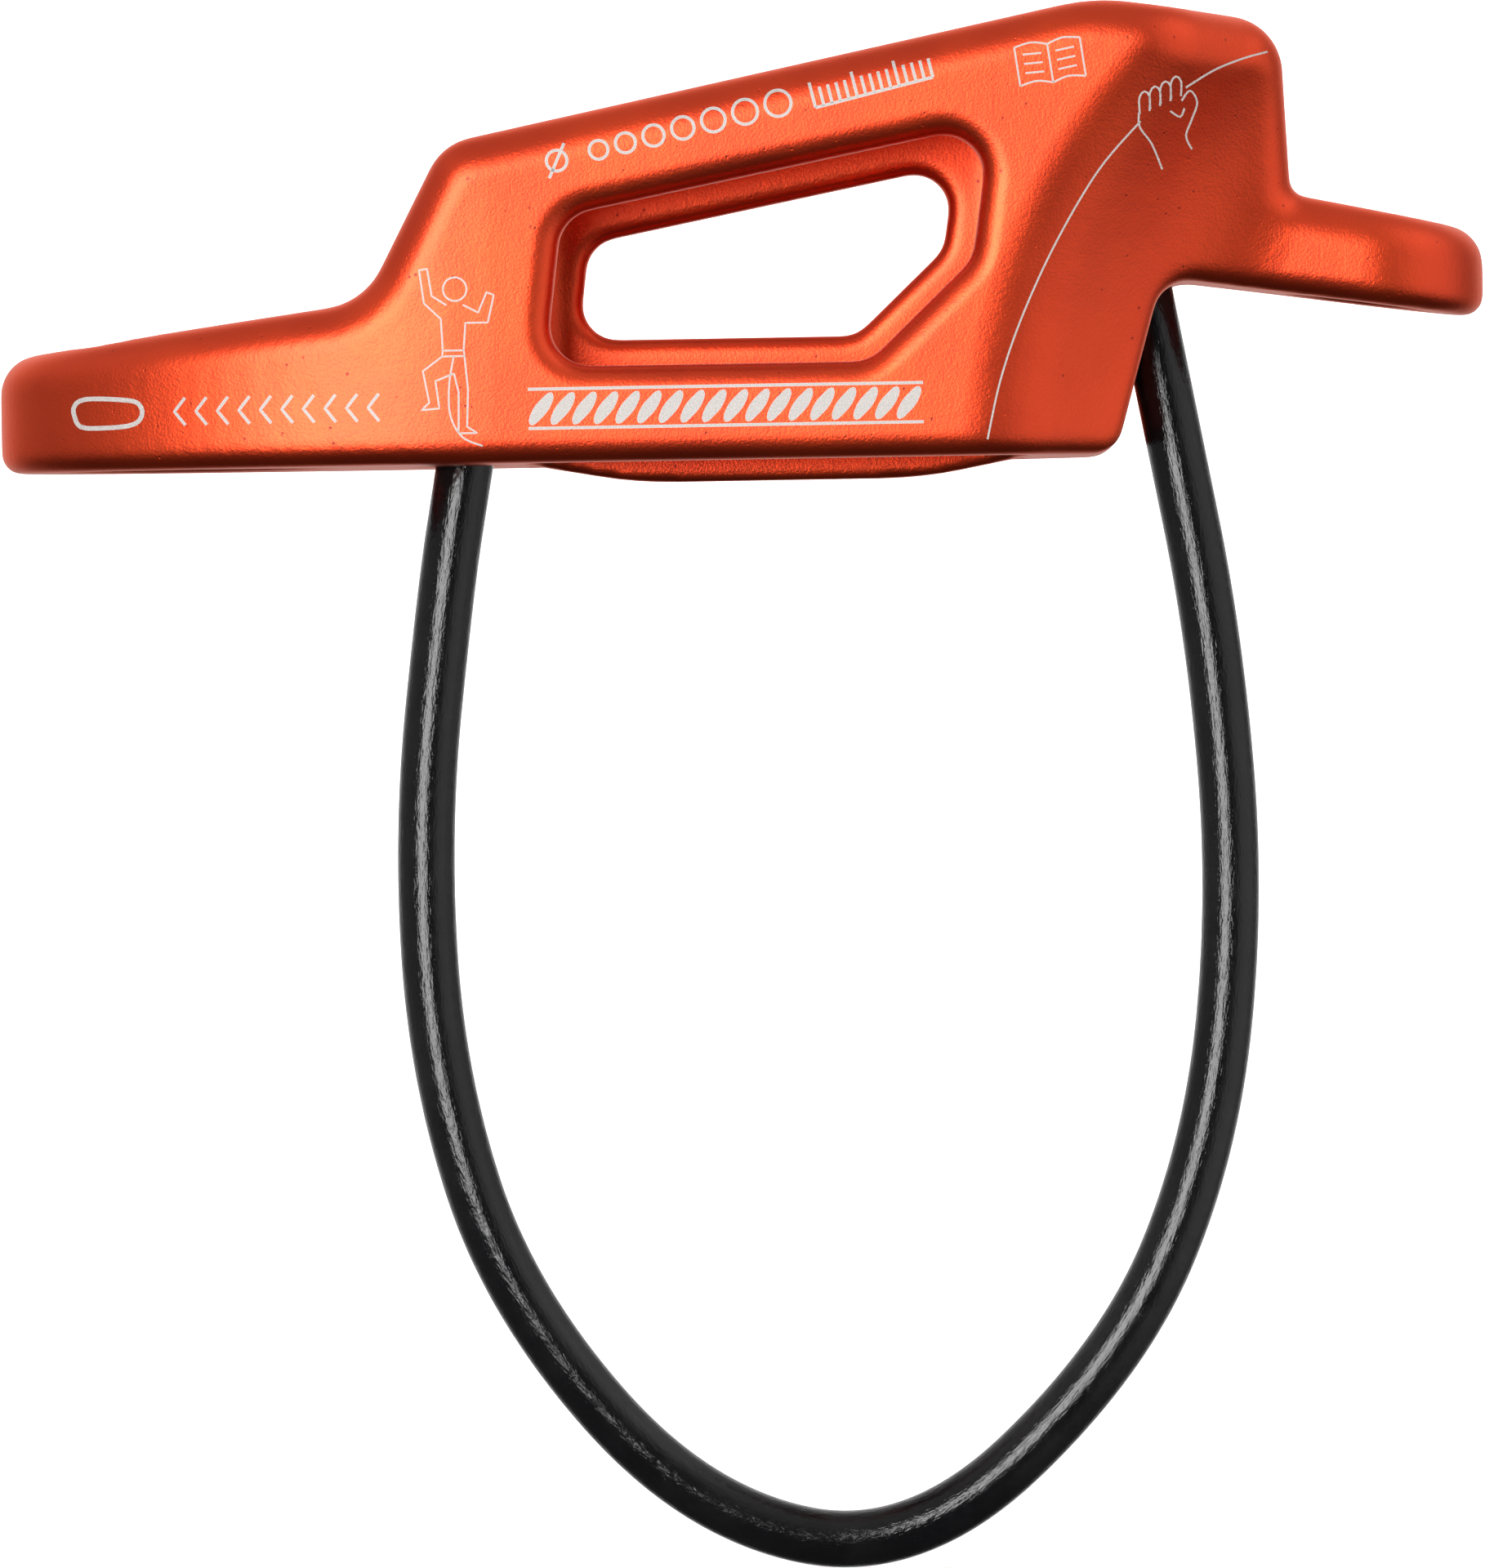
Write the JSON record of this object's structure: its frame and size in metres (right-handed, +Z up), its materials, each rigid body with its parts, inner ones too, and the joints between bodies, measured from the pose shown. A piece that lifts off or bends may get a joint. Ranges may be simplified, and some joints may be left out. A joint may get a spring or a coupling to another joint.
{
  "type": "belay device",
  "caption": "Two-slot tubular belay device: forged aluminium body with an anchor eye, a release eye and brake grooves, and a springy wire keeper loop.",
  "frame": {"origin": "middle of the flat under the centre web, where the belay carabiner bears; the part hangs on it", "axes": "+X along the rope slots towards the release eye on the brake side, +Y across the two slots, +Z up, away from the carabiner"},
  "size_m": [0.1038, 0.036, 0.1091],
  "materials": {
    "anodised_body": "bead-blasted and anodised orange-red",
    "jacket": "smooth extruded black plastic",
    "wire_rope": "bright stranded wire",
    "ferrule": "swaged, plain"
  },
  "bodies": {
    "device": {"belay_body": "anodised_body", "ferrule_left": "ferrule", "ferrule_right": "ferrule", "jacket_ends": "jacket", "wire_ends": "wire_rope"},
    "keeper": {"keeper_jacket": "jacket", "keeper_wire": "wire_rope"}
  },
  "joints": [
    {"name": "keeper_swing", "type": "hinge", "parent": "device", "child": "keeper", "pos_m": [-0.0221, 0, 0.001], "axis": [0.9973, 0, 0.0728], "range_deg": [-35, 35], "stiffness_Nm_per_rad": 0.3}
  ]
}
